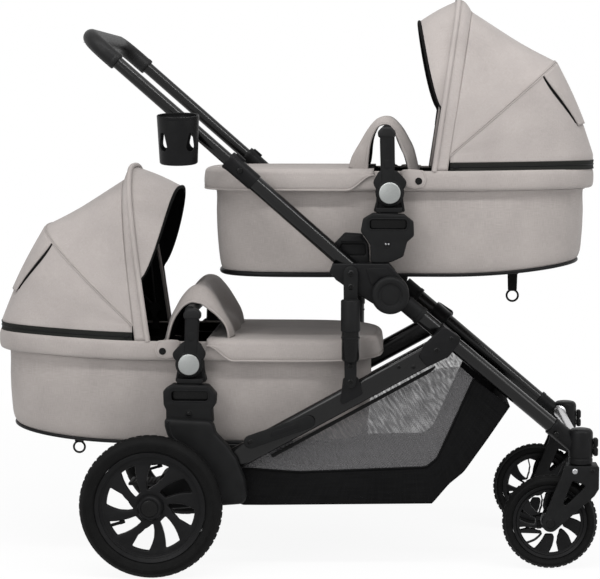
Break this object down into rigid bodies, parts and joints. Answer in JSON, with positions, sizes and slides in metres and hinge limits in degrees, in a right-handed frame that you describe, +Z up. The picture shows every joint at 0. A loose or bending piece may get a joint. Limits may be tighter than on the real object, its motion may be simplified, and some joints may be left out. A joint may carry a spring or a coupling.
{
  "type": "tandem pram",
  "caption": "Tandem pram with two hooded carrycots, one above the other, on a folding chassis with swivel front wheels, basket, push handle and cup holder.",
  "frame": {"origin": "on the ground, midway between the front and rear ends and between the two sides", "axes": "+X towards the front swivel wheels, +Y towards the pram's left side, +Z up"},
  "size_m": [1.217, 0.656, 1.1276],
  "materials": {
    "tube_black": "semi-gloss",
    "plastic_black": "fine grain",
    "tyre_rubber": "matte",
    "grip_leather": "matte",
    "cot_fabric": "matte weave",
    "black_fabric": "matte weave",
    "mattress_fabric": "soft knit",
    "cross_tube_silver": "satin",
    "bow_steel": "dull"
  },
  "bodies": {
    "front_frame": {"front_tube_right": "tube_black", "front_tube_left": "tube_black", "hub_housing_right": "plastic_black", "hub_housing_left": "plastic_black", "leg_pivot_bracket_right": "plastic_black", "leg_pivot_bracket_left": "plastic_black", "caster_housing_right": "plastic_black", "caster_housing_left": "plastic_black", "front_cross_tube": "cross_tube_silver", "basket": "black_fabric"},
    "upper_frame": {"joint_block_right": "plastic_black", "joint_block_left": "plastic_black", "cot_adapter_right": "plastic_black", "cot_adapter_left": "plastic_black", "outer_tube_right": "tube_black", "outer_tube_left": "tube_black"},
    "handle": {"handlebar": "tube_black", "handle_grip": "grip_leather", "cup_holder": "plastic_black"},
    "collar_button_right": {"collar_button_right": "plastic_black"},
    "collar_button_left": {"collar_button_left": "plastic_black"},
    "strut_right": {"side_strut_right": "plastic_black"},
    "strut_left": {"side_strut_left": "plastic_black"},
    "rear_frame": {"rear_leg_right": "tube_black", "rear_leg_left": "tube_black", "rear_bracket_right": "plastic_black", "rear_bracket_left": "plastic_black", "rear_axle_tube": "tube_black"},
    "brake_pedal": {"brake_pedal": "plastic_black"},
    "rear_wheel_right": {"rear_rim_right": "plastic_black", "rear_tyre_right": "tyre_rubber"},
    "rear_wheel_left": {"rear_rim_left": "plastic_black", "rear_tyre_left": "tyre_rubber"},
    "caster_right": {"caster_fork_right": "plastic_black"},
    "caster_left": {"caster_fork_left": "plastic_black"},
    "swivel_lock_right": {"swivel_lock_right": "plastic_black"},
    "swivel_lock_left": {"swivel_lock_left": "plastic_black"},
    "front_wheel_right": {"front_rim_right": "plastic_black", "front_tyre_right": "tyre_rubber"},
    "front_wheel_left": {"front_rim_left": "plastic_black", "front_tyre_left": "tyre_rubber"},
    "upper_cot": {"upper_cot_body": "cot_fabric", "upper_cot_mattress": "mattress_fabric", "upper_cot_apron": "cot_fabric"},
    "upper_hood_middle": {"upper_hood_middle_bow": "bow_steel", "upper_canopy_rear": "cot_fabric", "upper_canopy_front": "cot_fabric"},
    "upper_hood_front": {"upper_hood_front_bow": "cot_fabric"},
    "upper_carry_handle": {"upper_carry_handle": "plastic_black", "upper_handle_flap": "cot_fabric"},
    "lower_cot": {"lower_cot_body": "cot_fabric", "lower_cot_mattress": "mattress_fabric", "lower_cot_apron": "cot_fabric"},
    "lower_hood_middle": {"lower_hood_middle_bow": "bow_steel", "lower_canopy_rear": "cot_fabric", "lower_canopy_front": "cot_fabric"},
    "lower_hood_front": {"lower_hood_front_bow": "cot_fabric"},
    "lower_carry_handle": {"lower_carry_handle": "plastic_black", "lower_handle_flap": "cot_fabric"}
  },
  "joints": [
    {"name": "fold", "type": "hinge", "parent": "front_frame", "child": "upper_frame", "pos_m": [0.198, 0, 0.549], "axis": [0, 1, 0], "range_deg": [0, 35]},
    {"name": "rear_leg_fold", "type": "hinge", "parent": "front_frame", "child": "rear_frame", "pos_m": [0.288, 0, 0.441], "axis": [0, 1, 0], "range_deg": [0, 14.7]},
    {"name": "strut_fold_right", "type": "hinge", "parent": "upper_frame", "child": "strut_right", "pos_m": [0.1215, -0.26, 0.591], "axis": [0, 1, 0], "range_deg": [-22.8, 0]},
    {"name": "strut_fold_left", "type": "hinge", "parent": "upper_frame", "child": "strut_left", "pos_m": [0.1215, 0.26, 0.591], "axis": [0, 1, 0], "range_deg": [-22.8, 0]},
    {"name": "handle_slide", "type": "slide", "parent": "upper_frame", "child": "handle", "axis": [0.7524, 0, -0.6587], "range_m": [0, 0.075]},
    {"name": "collar_button_press_right", "type": "slide", "parent": "upper_frame", "child": "collar_button_right", "axis": [0, 1, 0], "range_m": [0, 0.002], "stiffness_N_per_m": 400, "springref_m": -0.001},
    {"name": "collar_button_press_left", "type": "slide", "parent": "upper_frame", "child": "collar_button_left", "axis": [0, -1, 0], "range_m": [0, 0.002], "stiffness_N_per_m": 400, "springref_m": -0.001},
    {"name": "upper_cot_lift", "type": "slide", "parent": "upper_frame", "child": "upper_cot", "axis": [0, 0, 1], "range_m": [0, 0.08]},
    {"name": "lower_cot_lift", "type": "slide", "parent": "rear_frame", "child": "lower_cot", "axis": [0, 0, 1], "range_m": [0, 0.045]},
    {"name": "upper_hood_fold", "type": "hinge", "parent": "upper_cot", "child": "upper_hood_middle", "pos_m": [0.3125, 0, 0.8166], "axis": [0, 1, 0], "range_deg": [0, 28], "deforming": ["upper_canopy_rear", "upper_canopy_front"]},
    {"name": "upper_hood_front_fold", "type": "hinge", "parent": "upper_hood_middle", "child": "upper_hood_front", "pos_m": [0.3125, 0, 0.8166], "axis": [0, 1, 0], "range_deg": [0, 28]},
    {"name": "lower_hood_fold", "type": "hinge", "parent": "lower_cot", "child": "lower_hood_middle", "pos_m": [-0.3125, 0, 0.4796], "axis": [0, -1, 0], "range_deg": [0, 28], "deforming": ["lower_canopy_rear", "lower_canopy_front"]},
    {"name": "lower_hood_front_fold", "type": "hinge", "parent": "lower_hood_middle", "child": "lower_hood_front", "pos_m": [-0.3125, 0, 0.4796], "axis": [0, -1, 0], "range_deg": [0, 28]},
    {"name": "upper_carry_handle_turn", "type": "hinge", "parent": "upper_cot", "child": "upper_carry_handle", "pos_m": [0.196, 0, 0.745], "axis": [0, -1, 0], "range_deg": [0, 55], "deforming": ["upper_handle_flap"]},
    {"name": "lower_carry_handle_turn", "type": "hinge", "parent": "lower_cot", "child": "lower_carry_handle", "pos_m": [-0.196, 0, 0.408], "axis": [0, 1, 0], "range_deg": [0, 55], "deforming": ["lower_handle_flap"]},
    {"name": "brake_pedal_turn", "type": "hinge", "parent": "rear_frame", "child": "brake_pedal", "pos_m": [-0.264, 0, 0.14], "axis": [0, -1, 0], "range_deg": [0, 17]},
    {"name": "rear_wheel_spin_right", "type": "hinge", "parent": "rear_frame", "child": "rear_wheel_right", "pos_m": [-0.264, -0.3045, 0.14], "axis": [0, 1, 0], "continuous": true},
    {"name": "rear_wheel_spin_left", "type": "hinge", "parent": "rear_frame", "child": "rear_wheel_left", "pos_m": [-0.264, 0.3045, 0.14], "axis": [0, 1, 0], "continuous": true},
    {"name": "caster_swivel_right", "type": "hinge", "parent": "front_frame", "child": "caster_right", "pos_m": [0.574, -0.185, 0.2105], "axis": [0, 0, 1], "continuous": true},
    {"name": "caster_swivel_left", "type": "hinge", "parent": "front_frame", "child": "caster_left", "pos_m": [0.574, 0.185, 0.2105], "axis": [0, 0, 1], "continuous": true},
    {"name": "front_wheel_spin_right", "type": "hinge", "parent": "caster_right", "child": "front_wheel_right", "pos_m": [0.5145, -0.185, 0.094], "axis": [0, 1, 0], "continuous": true},
    {"name": "front_wheel_spin_left", "type": "hinge", "parent": "caster_left", "child": "front_wheel_left", "pos_m": [0.5145, 0.185, 0.094], "axis": [0, 1, 0], "continuous": true},
    {"name": "swivel_lock_flip_right", "type": "hinge", "parent": "front_frame", "child": "swivel_lock_right", "pos_m": [0.598, -0.185, 0.262], "axis": [0, -1, 0], "range_deg": [0, 20]},
    {"name": "swivel_lock_flip_left", "type": "hinge", "parent": "front_frame", "child": "swivel_lock_left", "pos_m": [0.598, 0.185, 0.262], "axis": [0, -1, 0], "range_deg": [0, 20]}
  ],
  "couplings": [
    {"joint": "rear_leg_fold", "follows": "fold", "ratio": 0.41},
    {"joint": "strut_fold_right", "follows": "fold", "ratio": -0.64},
    {"joint": "strut_fold_left", "follows": "fold", "ratio": -0.64},
    {"joint": "upper_hood_front_fold", "follows": "upper_hood_fold", "ratio": 1},
    {"joint": "lower_hood_front_fold", "follows": "lower_hood_fold", "ratio": 1}
  ]
}
